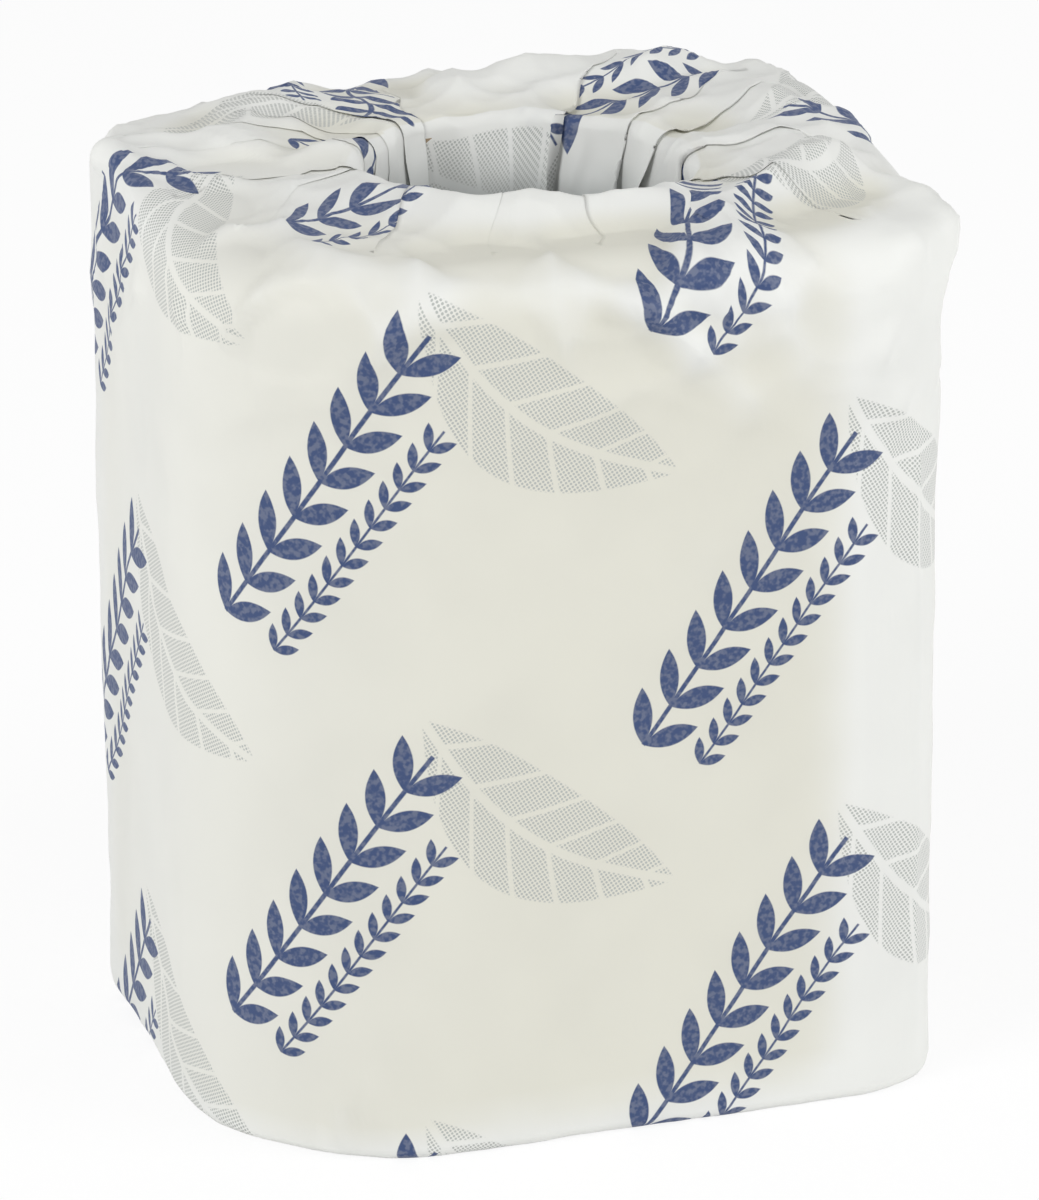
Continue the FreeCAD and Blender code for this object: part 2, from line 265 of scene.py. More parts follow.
@dataclass(frozen=True)
class Print:
    """The printed design: dark blue twigs in slanting rows, and pale dotted petals between them."""

    column: float
    row: float = 52.0
    slant_deg: float = 50.0
    large: Sprig = Sprig(pitch=5.6, leaf=7.2, half_leaf=1.25, stem=0.3, length=44.8, bend=1.6)
    small: Sprig = Sprig(pitch=2.9, leaf=3.4, half_leaf=0.62, stem=0.16, length=34.8, bend=1.1)
    small_shift: float = 3.0
    small_offset: float = -8.2
    raised: float = 34.667
    petal_length: float = 40.0
    petal_width: float = 15.0
    petal_slant_deg: float = -38.0
    petal_bow: float = 5.0
    petal_middle: float = 2.5
    petal_soft: float = 0.2
    rib: float = 0.55
    vein_pitch: float = 6.4
    vein_slope: float = 0.9
    vein: float = 0.4
    cut_soft: float = 0.15
    dot_slant_deg: float = 30.0
    dot_pitch: float = 0.44
    dot_radius: float = 0.155
    dot_soft: float = 0.05

    def sheet(self, recipe: Recipe) -> tuple[Value, Value]:
        """Place on the flat sheet in millimetres, round the sleeve and along it."""
        across, along, _ = recipe.parts(recipe.add("UVMap", uv_map="sheet"))
        return across / MM, along / MM

    def cell(self, recipe: Recipe, shift: float) -> tuple[Value, Value]:
        """Place within one repeat, from its middle.

        Args:
            recipe: the tree to add to.
            shift: share of a repeat by which the lattice is moved both ways.

        Returns:
            Distances in millimetres, round the sleeve and along it.
        """
        across, along = self.sheet(recipe)
        across = across + shift * self.column
        number = (across / self.column).math("FLOOR")
        odd = number.wrap(0.0, 3.0)
        raised = along - self.raised + shift * self.row + odd * (self.row / 3)
        return across.wrap(0.0, self.column) - self.column / 2, raised.wrap(-self.row / 2, self.row / 2)

    @staticmethod
    def turned(across: Value, along: Value, degrees: float) -> tuple[Value, Value]:
        """The same place seen from axes turned by an angle.

        Args:
            across: distance round the sleeve.
            along: distance along it.
            degrees: the turn.

        Returns:
            Distances along the turned axis and beside it.
        """
        turn = math.radians(degrees)
        return (across * math.cos(turn) + along * math.sin(turn),
                along * math.cos(turn) - across * math.sin(turn))

    def ink(self, recipe: Recipe) -> Value:
        """Where the dark blue is.

        Args:
            recipe: the tree to add to.

        Returns:
            1 on the ink and 0 beside it.
        """
        x, y = self.cell(recipe, 0.0)
        along, across = self.turned(x, y, self.slant_deg)
        large = self.large.mask(along, across)
        small = self.small.mask(along + self.small_shift, across - self.small_offset)
        return large.math("MAXIMUM", small)

    def dots(self, recipe: Recipe) -> Value:
        """Where the pale dots are.

        Args:
            recipe: the tree to add to.

        Returns:
            1 on a dot and 0 beside it.
        """
        x, y = self.cell(recipe, 0.5)
        along, across = self.turned(x, y, self.petal_slant_deg)
        bow = self.petal_bow * (along * (math.pi / self.petal_length)).math("COSINE")
        side = abs(across + bow - self.petal_middle)
        middle = along / (self.petal_length / 2)
        width = (self.petal_width / 2) * (1.0 - middle * middle)
        petal = (side - width).step(self.petal_soft, -self.petal_soft)
        rib = (side - self.rib).step(-self.cut_soft, self.cut_soft)
        veins = abs((along - self.vein_slope * side).wrap(0.0, self.vein_pitch) - self.vein_pitch / 2)
        cut = (veins - self.vein).step(-self.cut_soft, self.cut_soft)
        dot_x, dot_y = self.turned(*self.sheet(recipe), self.dot_slant_deg)
        near_x, near_y = (value.wrap(0.0, self.dot_pitch) - self.dot_pitch / 2 for value in (dot_x, dot_y))
        distance = (near_x * near_x + near_y * near_y).math("SQRT")
        dot = (distance - self.dot_radius).step(self.dot_soft, -self.dot_soft)
        return petal * rib * cut * dot


@dataclass(frozen=True)
class WrapPaper:
    """Thin, slightly glossy, slightly see-through printed paper."""

    touching: Colour = linear(228, 227, 216)
    # The whiter paper colour: paper standing clear of the tissue, and also painted light that whitens the
    # left side.
    standing_off_and_painted_light: Colour = linear(239, 240, 237)
    # Painted shade: the grey that the paper gets down in the hollow.
    in_hollow: Colour = linear(188, 193, 192)
    ink: Colour = linear(62, 80, 122)
    grey: Colour = linear(182, 185, 182)
    roughness: float = 0.5
    wrinkle: float = 0.25
    see_through: float = 0.18
    mottle: float = 0.06
    mottle_dark: Colour = (0.6, 0.6, 0.6, 1.0)
    mottle_scale: float = 60.0
    fibre_scale: float = 1500.0
    crinkle_scale: float = 70.0
    ink_grain: float = 0.12

    def material(self, design: Print) -> bpy.types.Material:
        """Build the paper's material.

        Args:
            design: the print.

        Returns:
            The material.
        """
        recipe = Recipe(bpy.data.materials.new("wrap_paper"))
        # Vertex attributes: contact with the tissue, lowered on the left side by painted light, and the
        # mask of painted shade in the hollow.
        touch_and_painted_light, deep = (recipe.add("Attribute", None, "Fac", attribute_name=name)
                       for name in ("touch_and_painted_light", "deep"))
        cloud = recipe.speckle(self.mottle_scale, 1.0)
        # Cream where the tissue shows through; whiter where the paper stands clear and where painted light
        # whitens the left side.
        paper = recipe.mix(touch_and_painted_light, self.standing_off_and_painted_light, self.touching)
        # Painted shade: the paper is greyed down in the hollow.
        paper = recipe.mix(deep, paper, self.in_hollow)
        patches = recipe.mix(cloud.step(0.35, 0.65), self.mottle_dark, WHITE)
        paper = recipe.mix(self.mottle, paper, patches, "MULTIPLY")
        dotted = recipe.mix(design.dots(recipe), paper, self.grey)
        fibre = recipe.speckle(self.fibre_scale, 1.0)
        ink = design.ink(recipe) * (1 - self.ink_grain + self.ink_grain * fibre.step(0.35, 0.6))
        colour = recipe.mix(ink, dotted, self.ink)
        crinkle = recipe.speckle(self.crinkle_scale, 1.0, "RIDGED_MULTIFRACTAL")
        normal = recipe.bump(fibre * 0.12 + crinkle * 0.5, self.wrinkle, 0.2 * MM)
        skin = recipe.skin(colour, normal, self.roughness, 0.35)
        glow = recipe.add("BsdfTranslucent", {"Color": colour, "Normal": normal})
        return recipe.finish(recipe.blend(self.see_through, skin, glow))


class Lap(Enum):
    """The side that the edge of a lapped fold points to, seen from above."""

    AHEAD = 1
    BEHIND = -1


class Zone(Enum):
    """The stretches of the wrap's profile, from the upper tuck to the lower, with their rows."""

    TUCK = ("upper tuck", 12)
    LIP = ("rolled lip", 11)
    TOP = ("gathered end", 34)
    SHOULDER = ("shoulder", 10)
    WALL_TOP = ("wall under the shoulder", 32)
    WALL = ("wall", 26)
    FOOT = ("foot", 4)
    SOLE = ("sole", 10)
    GATHER = ("gathered sole", 8)
    HEEL = ("turn into the hollow", 5)
    LOWER = ("lower tuck", 8)

    @property
    def rows(self) -> int:
        """Number of the net's rows in this stretch."""
        return self.value[1]


@dataclass(frozen=True)
class Fold:
    """One gather: the direction of its edge at the mouth and at the wall in degrees, how high it
    stands as a share of the full rise, and the side its edge points to."""

    mouth: float
    wall: float
    lift: float
    lap: Lap


@dataclass(frozen=True)
class Swell:
    """Air under the gathered end: direction and spread in degrees, place and reach as shares of
    the way from the lip out to the shoulder, and height in millimetres."""

    direction: float
    spread: float
    place: float
    reach: float
    height: float


@dataclass(frozen=True)
class Crease:
    """A ridge or, with a negative height, a valley pressed into the paper, in millimetres."""

    start: tuple[float, float, float]
    end: tuple[float, float, float]
    height: float
    width: float
    gain: float = 1.9
    tightness: float = 0.75
    fall: float = 1.4

    def relief(self, places: Array) -> Array:
        """Height over the smooth sheet.

        Args:
            places: points in metres, one to a row.

        Returns:
            Heights in metres.
        """
        start, run = np.array(self.start) * MM, np.subtract(self.end, self.start) * MM
        along = (places - start) @ run / (run @ run)
        nearest = start + np.clip(along, 0, 1)[:, None] * run
        off = np.linalg.norm(places - nearest, axis=1) / (self.tightness * self.width * MM)
        return self.gain * self.height * MM * np.maximum(0, 1 - off) ** self.fall


AHEAD, BEHIND = Lap

FOLDS = tuple(Fold(*row) for row in (
    (15, 21, 0.5, BEHIND), (31, 33, 0.25, BEHIND), (57, 56, 0.45, BEHIND),
    (108, 100, 0.22, BEHIND), (118, 132, 0.22, AHEAD), (128, 143, 0.09, AHEAD),
    (137, 154, 0.16, AHEAD), (147, 165, 0.07, AHEAD), (168, 184, 0.22, AHEAD),
    (192, 203, 0.12, AHEAD), (220, 228, 0.2, BEHIND), (246, 246, 0.1, AHEAD),
    (270, 268, 0.18, BEHIND), (296, 290, 0.12, AHEAD), (322, 313, 0.22, BEHIND),
    (348, 342, 0.35, BEHIND),
))

SWELLS = tuple(Swell(*row) for row in (
    (20, 22, 0.8, 0.4, 2.2), (45, 24, 0.8, 0.4, 2.2), (80, 26, 0.75, 0.4, 3.2),
    (115, 22, 0.6, 0.4, 1.2), (152, 18, 0.9, 0.4, 1.0), (205, 30, 0.2, 0.4, 2.0),
    (252, 42, 0.08, 0.38, 3.0), (330, 28, 0.5, 0.45, 2.0),
))

CREASES = tuple(Crease(*row) for row in (
    ((-6.6, -42, 111.8), (3.1, -42, 106.2), 0.7, 4.5), ((3.1, -42, 106.2), (10.5, -42, 100), 0.8, 5),
    ((10.5, -42, 100), (17, -42, 93), 0.45, 6), ((-6.6, -42, 111.8), (6.5, -37, 114), 0.7, 4),
    ((6.5, -37, 114), (11.1, -34, 114), 0.6, 4), ((11.1, -34, 114), (10.4, -41.5, 110), 0.8, 4.5),
    ((10.4, -42, 110), (14.8, -42, 101), 0.7, 5), ((-17, -35, 114), (-4, -34.5, 114), -0.7, 4.5),
    ((-41.6, -29, 103), (-37, -34, 111), 0.9, 5), ((-43, -24, 107), (-38, -33, 113), -0.6, 4),
    ((-37, -34, 111), (-22, -38, 112), 0.5, 5), ((-34.8, 4.6, 114), (-15, 16.3, 114), -1.0, 5),
    ((-38, 10, 114), (-20, 20, 114), 0.8, 6), ((33, -41, 97), (44, -31, 108), 0.8, 4.5),
    ((36, -40, 90), (46, -26, 99), 0.7, 4), ((38, -39.5, 84), (46, -30, 92), -0.6, 4),
    ((23.6, -6, 114), (36, -12, 114), -0.6, 5), ((32.7, -41, 112), (38, -36, 113), -0.9, 4),
    ((25.5, -31, 114), (37.4, -26, 114), -0.9, 6), ((28, -24, 114), (42, -16, 114), 0.8, 6),
    ((-33, -37.5, 3), (-29, -40, 9), 0.7, 4), ((39, -39, 84), (40.5, -38.5, 8), 0.5, 3.5),
    ((35.5, -41.6, 70), (37, -41.2, 6), -0.35, 4), ((-46, 26, 110.5), (-46, -14, 110.5), -1.1, 10),
    ((12, 30, 115), (30, 38, 113), 0.9, 7), ((24, 20, 115), (40, 27, 114), -0.8, 6),
    ((-3, 24, 115), (2, 41, 113), -0.7, 6), ((-20, 26, 114), (-30, 40, 110), 0.6, 6),
    ((-44, 24, 112), (-34, 38, 108), 0.6, 5), ((30, 42, 108), (18, 42, 96), 0.6, 6),
    ((-12, 42, 109), (-22, 42, 98), 0.6, 6), ((46.4, 12, 108), (46.4, 2, 97), 0.6, 6),
    ((-46.4, -6, 102), (-46.4, 6, 92), 0.4, 6),
))


WALL_CRUMPLE = 0.16
CRUMPLED = {Zone.TUCK: 0.9, Zone.LIP: 0.8, Zone.TOP: 1.0, Zone.SHOULDER: 1.0,
            Zone.WALL: WALL_CRUMPLE, Zone.FOOT: WALL_CRUMPLE, Zone.LOWER: 0.4}


@dataclass
class Outline:
    """The squashed section of the wrap, seen from the hollow's axis."""

    half_x: float
    half_y: float
    axis_x: float
    axis_y: float
    rounds: dict[tuple[int, int], float]

    def distance(self, angle: Array) -> Array:
        """Distance from the axis to the wall.

        Args:
            angle: directions in radians, of any shape.

        Returns:
            Distances in metres, of the same shape.
        """
        ray_x, ray_y = np.cos(angle), np.sin(angle)
        with np.errstate(divide="ignore"):
            reach_x = (np.copysign(self.half_x, ray_x) - self.axis_x) / ray_x
            reach_y = (np.copysign(self.half_y, ray_y) - self.axis_y) / ray_y
        reach = np.minimum(reach_x, reach_y)
        for (sign_x, sign_y), radius in self.rounds.items():
            centre_x = sign_x * (self.half_x - radius) - self.axis_x
            centre_y = sign_y * (self.half_y - radius) - self.axis_y
            along = centre_x * ray_x + centre_y * ray_y
            inside = along ** 2 - centre_x ** 2 - centre_y ** 2 + radius ** 2
            far = along + np.sqrt(np.maximum(inside, 0))
            on_corner = (inside > 0) & ((ray_x * far - centre_x) * sign_x >= 0)
            on_corner &= (ray_y * far - centre_y) * sign_y >= 0
            reach = np.where(on_corner, np.minimum(reach, far), reach)
        return reach

    def arc_table(self, start: float) -> tuple[Array, Array]:
        """Measure the wall once round.

        Args:
            start: direction to begin at, in radians.

        Returns:
            Directions right round from the start, and the length of wall up to each.
        """
        angles = start + np.linspace(0, math.tau, 4001)
        reach = self.distance(angles)
        x, y = reach * np.cos(angles), reach * np.sin(angles)
        steps = np.hypot(np.diff(x), np.diff(y))
        return angles, np.concatenate([[0], np.cumsum(steps)])


@dataclass(frozen=True)
class Crumple:
    """Facets that handling leaves in the paper, the same on every run."""

    facet: float = 15 * MM
    facet_height: float = 1.15 * MM
    fine: float = 6.5 * MM
    fine_height: float = 0.42 * MM
    billow: float = 26 * MM
    billow_height: float = 0.55 * MM
    mean_square: float = 0.27

    def relief(self, places: Array) -> Array:
        """Height over the smooth sheet, before it is faded by place.

        Args:
            places: points in metres, one to a row.

        Returns:
            Heights in metres.
        """
        heights = np.empty(len(places))
        for index, place in enumerate(places):
            point = Vector(place)
            total = noise.noise(point / self.billow) * self.billow_height
            for size, height in ((self.facet, self.facet_height), (self.fine, self.fine_height)):
                square = noise.voronoi(point / size, distance_metric="DISTANCE_SQUARED")[0][0]
                total += height * (square - self.mean_square) / self.mean_square
            heights[index] = total
        return heights


@dataclass
class WrapSheet:
    """The paper sleeve: one sheet, pleated at both ends and tucked into the hollow."""

    skin: float = 0.25 * MM
    gap: float = 0.3 * MM
    core_wall: float = 0.6 * MM
    core_fit: float = 0.05 * MM
    front_right: float = 17 * MM
    front_right_foot: float = 13 * MM
    back_right: float = 21.55 * MM
    back_left: float = 26.05 * MM
    front_left: float = 29.05 * MM
    shoulder_round: float = 6.5 * MM
    ears: tuple[tuple[float, float, float], ...] = ((166, 22, 0.75), (2, 34, 0.5))
    rises: tuple[tuple[float, float, float], ...] = ((16, 17, 3.2), (352, 13, 1.6), (172, 17, 2.4))
    foot_round: float = 1.6 * MM
    lip_rise: float = 0.6 * MM
    front_lip: float = 3.6 * MM
    back_lip: float = 1.8 * MM
    back_direction: float = math.radians(72)
    fold_rise: float = 1.0 * MM
    lip_fold_depth: float = 0.5 * MM
    tuck_fold_depth: float = 3.4 * MM
    pleat_start: float = 0.25
    tuck_twist: float = math.radians(7)
    soft_ridge: float = 0.5 * MM
    soft_spread_deg: float = 4.5
    soft_start: float = 0.35
    soft_reach: float = 11 * MM
    sole_rise: float = 0.6 * MM
    sole_reach: float = 9 * MM
    upper_tuck: float = 30 * MM
    lower_tuck: float = 26 * MM
    wall_top_height: float = 30 * MM
    layer_gap: float = 0.04
    layer_drop: float = 0.09 * MM
    least_lap: float = 0.4 * MM
    full_lap: float = 0.25 * MM
    wobble: float = math.radians(1.6)
    wobble_step: float = 2.4
    wobble_run: float = 7.0
    puff: float = 0.12
    steepness: float = 1.3
    crest_fade: float = 1.2
    valley_fade: float = 2.5
    lap_cover: float = 0.85
    least_room: float = 0.2 * MM
    column_step: float = 0.85 * MM
    # Painted light on the left side: its direction and spread in degrees, and how much whiter the paper is
    # painted there.
    painted_light_side_deg: float = 184
    painted_light_spread_deg: float = 40
    painted_light_share: float = 0.75
    held_round: float = 25 * MM
    back_left_held_round: float = 36 * MM
    held_edge: float = 8 * MM
    first_clear: float = 0.6 * MM
    clear_run: float = 2.4 * MM
    # Where the painted shade in the hollow begins below the end, and how far down it deepens.
    first_shade: float = 2 * MM
    shade_run: float = 10 * MM
    least_parting: float = 0.02 * MM
    weld: float = 0.004 * MM
    under_steps: int = 3
    crumple: Crumple = Crumple()

    def __post_init__(self) -> None:
        """Take the places that the frame gives."""
        _, self.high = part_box("wrapper")
        core_low, core_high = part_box("core_tube")
        roll_low, roll_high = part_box("tissue_roll")
        self.axis = Vector(((core_low[0] + core_high[0]) / 2, (core_low[1] + core_high[1]) / 2, 0))
        self.bore = (core_high[0] - core_low[0]) / 2 + self.core_fit
        self.throat = self.bore - self.core_fit - self.core_wall - self.gap - self.skin
        self.seat = roll_low[2]
        self.flat = roll_high[2] + self.gap + self.skin
        self.table = self.columns()

    def outline(self, front_right: float) -> Outline:
        """The section of the wall, with the radius of its front right corner."""
        rounds = {(1, -1): front_right, (1, 1): self.back_right,
                  (-1, 1): self.back_left, (-1, -1): self.front_left}
        return Outline(self.high[0], self.high[1], self.axis.x, self.axis.y, rounds)

    def columns(self) -> Net:
        """Lay out the net's columns.

        Returns:
            Each column's panel, layer (0 on the face, 1 and 2 under the next fold) and share of it,
            its panel's edges, and the folds' own places and lifts.
        """
        start = math.radians(FOLDS[0].wall)
        angles, lengths = self.outline(self.front_right).arc_table(start)
        count = len(FOLDS)
        mouths = np.unwrap(np.radians([fold.mouth for fold in FOLDS] + [FOLDS[0].mouth + 360]))
        walls = np.radians([fold.wall for fold in FOLDS] + [FOLDS[0].wall + 360])
        marks = np.interp(walls, angles, lengths)
        rows: list[tuple[float, ...]] = []
        for panel in range(count):
            steps = max(4, round((marks[panel + 1] - marks[panel]) / self.column_step))
            rows += [(panel, 0, step / steps) for step in range(steps + 1)]
            rows += [(panel, 1, step / self.under_steps) for step in range(1, self.under_steps + 1)]
            rows += [(panel, 2, step / self.under_steps) for step in range(1, self.under_steps)]
        panels, layers, shares = np.array(rows).T
        panels = panels.astype(int)
        following = (panels + 1) % count
        ahead = np.array([fold.lap is Lap.AHEAD for fold in FOLDS])
        lifts = np.array([fold.lift for fold in FOLDS])
        return {
            "panel": panels, "layer": layers, "share": shares, "ahead": ahead[following],
            "mouth": mouths[panels], "mouth_end": mouths[panels + 1],
            "mark": marks[panels], "mark_end": marks[panels + 1], "wall_end": walls[panels + 1],
            "angles": angles, "lengths": lengths, "marks": marks, "mouths": mouths, "walls": walls,
            "rising_in": np.where(ahead, lifts, 0), "falling_out": np.where(ahead, 0, lifts),
        }

    def face_lift(self, panel: Array, share: Array) -> Array:
        """Lift of a panel's face.

        Args:
            panel: number of the panel of each column.
            share: place across it, from 0 to 1.

        Returns:
            Lifts, from 0 in a valley to 1 on the highest fold.
        """
        table = self.table
        share = np.clip(share, 0, 1)
        falling = table["falling_out"][panel] * (1 - share) ** self.steepness
        rising = np.roll(table["rising_in"], -1)[panel] * share ** self.steepness
        return falling + rising + self.puff * np.sin(math.pi * share)

    def stations(self) -> list[tuple[Zone, float]]:
        """Every row of the net as a zone and a place in it, from the upper tuck to the lower."""
        rows = [(zone, step / zone.rows) for zone in Zone for step in range(zone.rows)]
        return rows + [(Zone.LOWER, 1.0)]

    def shoulder(self, angle: Array) -> Array:
        """Shoulder radius, tighter where the paper stands off in an ear.

        Args:
            angle: directions in radians.

        Returns:
            Radii in metres.
        """
        total = self.shoulder_round + 0 * angle
        for direction, spread, share in self.ears:
            total = total * (1 - share * bell(angle, direction, spread))
        return total

    def rise(self, angle: Array) -> Array:
        """How far the shoulder is puffed up above the roll's end."""
        return sum(height * MM * bell(angle, direction, spread) for direction, spread, height in self.rises)

    def lip(self, angle: Array) -> Array:
        """Radius of the rolled lip, tight at the back and full at the front."""
        share = 0.5 - 0.5 * np.cos(angle - self.back_direction)
        return self.back_lip + (self.front_lip - self.back_lip) * share

    def swell(self, angle: Array, share: float) -> Array:
        """Height of the air under the end.

        Args:
            angle: directions in radians.
            share: place on the way from the lip, 0, to the shoulder, 1.

        Returns:
            Heights in metres.
        """
        total = self.lip_rise * (1 - share) + 0 * angle
        for bump in SWELLS:
            near = math.exp(-((share - bump.place) / bump.reach) ** 2)
            height = bump.height * MM * (1 - share ** 6) * near
            total = total + height * bell(angle, bump.direction, bump.spread)
        return total

    def point(self, zone: Zone, share: float, angle: Array, mouth_angle: Array,
              lift: Array) -> tuple[Array, Array, tuple[float, float]]:
        """Distance from the axis, height, and the paper's outward direction in the profile.

        Args:
            zone: stretch of the profile.
            share: place in it, from 0 to 1.
            angle: directions in radians.
            mouth_angle: directions of the same columns at the mouth.
            lift: height of the fold there, from 0 in a valley to 1 on the highest crest.

        Returns:
            Distances, heights, and the outward direction as shares away from the axis and up.
        """
        turn = share * math.pi / 2
        sin, cos = math.sin(turn), math.cos(turn)
        lip = self.lip(mouth_angle)
        started = min(1.0, (1 - share) / self.pleat_start)
        tucked = {Zone.TUCK: started, Zone.LIP: 0.0, Zone.TOP: 0.0}.get(zone, 1.0)
        depth = self.lip_fold_depth + tucked * (self.tuck_fold_depth - self.lip_fold_depth)
        mouth = self.throat - depth * lift
        crown = self.flat + self.swell(mouth_angle, 0) + self.fold_rise * lift
        if zone is Zone.TUCK:
            return mouth, crown - lip - (1 - share) * self.upper_tuck, (-1.0, 0.0)
        if zone is Zone.LIP:
            return mouth + lip * (1 - cos), crown - lip * (1 - sin), (-cos, sin)
        if zone in (Zone.TOP, Zone.SHOULDER):
            wall = self.outline(self.front_right).distance(angle)
            shoulder = self.shoulder(angle)
            if zone is Zone.TOP:
                fade = cos ** (self.crest_fade + self.valley_fade * (1 - np.clip(lift, 0, 1)))
                reach = mouth + lip + share * (wall - shoulder - mouth - lip)
                height = self.flat + self.swell(angle, share) + share * share * self.rise(angle)
                return reach, height + fade * self.fold_rise * lift, (0.0, 1.0)
            height = self.flat + self.rise(angle) - shoulder * (1 - cos)
            return wall - shoulder * (1 - sin), height, (sin, cos)
        if zone in (Zone.WALL_TOP, Zone.WALL):
            top = self.flat + self.rise(angle) - self.shoulder(angle)
            middle = self.flat - self.wall_top_height
            height = top + share * (middle - top)
            if zone is Zone.WALL:
                height = middle * (1 - share) + self.foot_round * share
            down = (self.flat - np.mean(height)) / self.flat
            corner = self.front_right * (1 - down) + self.front_right_foot * down
            return self.outline(corner).distance(angle), height, (1.0, 0.0)
        foot = self.outline(self.front_right_foot).distance(angle) - self.foot_round
        if zone is Zone.FOOT:
            return foot + self.foot_round * cos, self.foot_round * (1 - sin) + 0 * foot, (cos, -sin)
        inner = self.bore + self.sole_reach
        sole = self.sole_rise * (1 - np.clip(lift, 0, 1))
        if zone is Zone.SOLE:
            return foot + share * (inner - foot), 0 * foot, (0.0, -1.0)
        if zone is Zone.GATHER:
            return inner - share * self.sole_reach + 0 * foot, share * sole, (0.0, -1.0)
        turn_in = self.bore - self.throat
        if zone is Zone.HEEL:
            return self.bore + (mouth - self.bore) * sin, sole + turn_in * (1 - cos), (-sin, -cos)
        height = (sole + turn_in) * (1 - share) + (self.seat + self.lower_tuck) * share
        return mouth, height, (-1.0, 0.0)

    @staticmethod
    def gathered(zone: Zone, share: float) -> float:
        """How far the columns have turned from their wall places to their mouth places.

        Args:
            zone: stretch of the profile.
            share: place in it.

        Returns:
            0 at their wall places and 1 at their mouth places.
        """
        if zone in (Zone.TUCK, Zone.LIP, Zone.HEEL, Zone.LOWER):
            return 1.0
        if zone is Zone.TOP:
            return 0.5 + 0.5 * math.cos(share * math.pi)
        if zone is Zone.GATHER:
            return 0.5 + 0.5 * share
        if zone is Zone.SOLE:
            return 0.25 - 0.25 * math.cos(share * math.pi)
        return 0.0

    def room(self, zone: Zone, share: float, angle: Array) -> Array:
        """How far the paper may be pressed in before it meets what is under it."""
        air = {Zone.LIP: self.swell(angle, 0.0), Zone.TOP: self.swell(angle, share)}.get(zone, 0 * angle)
        return self.least_room + air

    def sway(self, zone: Zone, share: float) -> Array:
        """How far each fold's edge wanders from its straight course at a row.

        Args:
            zone: stretch of the profile.
            share: place in it.

        Returns:
            Turns in radians, one for each fold and the first again.
        """
        numbers = np.arange(len(FOLDS))
        course = share if zone is Zone.TOP else 0.0
        waves = np.sin(math.pi * course) * np.sin(self.wobble_step * numbers + self.wobble_run * course)
        return self.wobble * np.append(waves, waves[0])

    @staticmethod
    def lapped(zone: Zone, share: float) -> float:
        """Share of the spare width that goes under the folds: none where the shoulder begins."""
        return 1 - smooth(share) if zone is Zone.TOP else 1.0

    def twist(self, zone: Zone, share: float) -> float:
        """Turn of the whole row in the tucks, where the paper was twisted as it was pushed in."""
        if zone is Zone.TUCK:
            return self.tuck_twist * (1 - share)
        return self.tuck_twist * share if zone is Zone.LOWER else 0.0

    def soft_lift(self, wall_angle: Array) -> Array:
        """Height of the soft ridges that the folds send over the shoulder, as a share."""
        return sum(fold.lift * bell(wall_angle, fold.wall, self.soft_spread_deg) for fold in FOLDS)

    def softness(self, zone: Zone, share: float) -> float:
        """Strength of the soft ridges at a row.

        Args:
            zone: stretch of the profile.
            share: place in it.

        Returns:
            A share from 0 to 1.
        """
        if zone is Zone.TOP:
            return max(0.0, (share - self.soft_start) / (1 - self.soft_start)) ** 2
        if zone is Zone.WALL_TOP:
            return math.exp(-share * self.wall_top_height / self.soft_reach)
        return 1.0 if zone is Zone.SHOULDER else 0.0

    @staticmethod
    def handled(zone: Zone, share: float) -> float:
        """Share of the crumple at a row: full on the gathered end, faint down the wall."""
        if zone is Zone.WALL_TOP:
            return WALL_CRUMPLE + (1 - WALL_CRUMPLE) * (1 - share) ** 2
        return CRUMPLED.get(zone, 0.0)

    def row(self, zone: Zone, share: float) -> Net:
        """One row of the net, before the paper is crumpled.

        Args:
            zone: stretch of the profile.
            share: place in it.

        Returns:
            Places, outward directions, sheet coordinate and width hidden under each fold.
        """
        table = self.table
        turn = self.gathered(zone, share)
        sway = self.sway(zone, share)
        edges = table["walls"] * (1 - turn) + table["mouths"] * turn + sway
        middles = (edges[1:] + edges[:-1]) / 2
        reach, _, _ = self.point(zone, share, middles, middles, 0 * middles)
        full = self.outline(self.front_right).distance(middles)
        widths, wall_spans, spans = np.diff(table["marks"]), np.diff(table["walls"]), np.diff(edges)
        whole = zone in (Zone.SHOULDER, Zone.WALL_TOP, Zone.WALL, Zone.FOOT)
        shown = widths if whole else np.minimum(widths, widths * reach / full * spans / wall_spans)
        spare = np.maximum(0, (widths - shown) * self.lapped(zone, share) - self.least_lap)
        shown = widths - spare
        hidden = (spare + np.roll(spare, -1)) / 4
        panel, place, ahead = table["panel"], table["share"], table["ahead"]
        face, under = table["layer"] == 0, table["layer"] == 1
        upper = under == ahead
        following = (panel + 1) % len(FOLDS)
        folded = hidden[panel]
        cover = np.where(ahead, spans[panel], spans[following])
        depth = np.minimum(folded / reach[panel], self.lap_cover * cover)
        off = np.select([face, under], [0, place * depth], (1 - place) * depth)
        sign = np.where(ahead, -1, 1)
        on_wall = np.interp(table["mark"] + place * widths[panel], table["lengths"], table["angles"])
        on_mouth = table["mouth"] + place * (table["mouth_end"] - table["mouth"])
        face_angle = on_wall * (1 - turn) + on_mouth * turn
        face_angle = face_angle + sway[panel] + place * (sway[panel + 1] - sway[panel])
        angle = np.where(face, face_angle, edges[panel + 1] + sign * off)
        covering = np.where(ahead, panel, following)
        across = np.where(ahead, 1 - off / cover, off / cover)
        above = self.face_lift(covering, across)
        near, low = above - self.layer_gap, above - 2 * self.layer_gap
        base = np.where(ahead, self.face_lift(following, 0 * across), self.face_lift(panel, 1 + 0 * across))
        valley = base + (low - base) * (off / np.maximum(depth, 1e-9))
        lift = np.where(face, self.face_lift(panel, place), np.where(upper, near, valley))
        reach, height, outward = self.point(zone, share, angle, np.where(face, on_mouth, angle), lift)
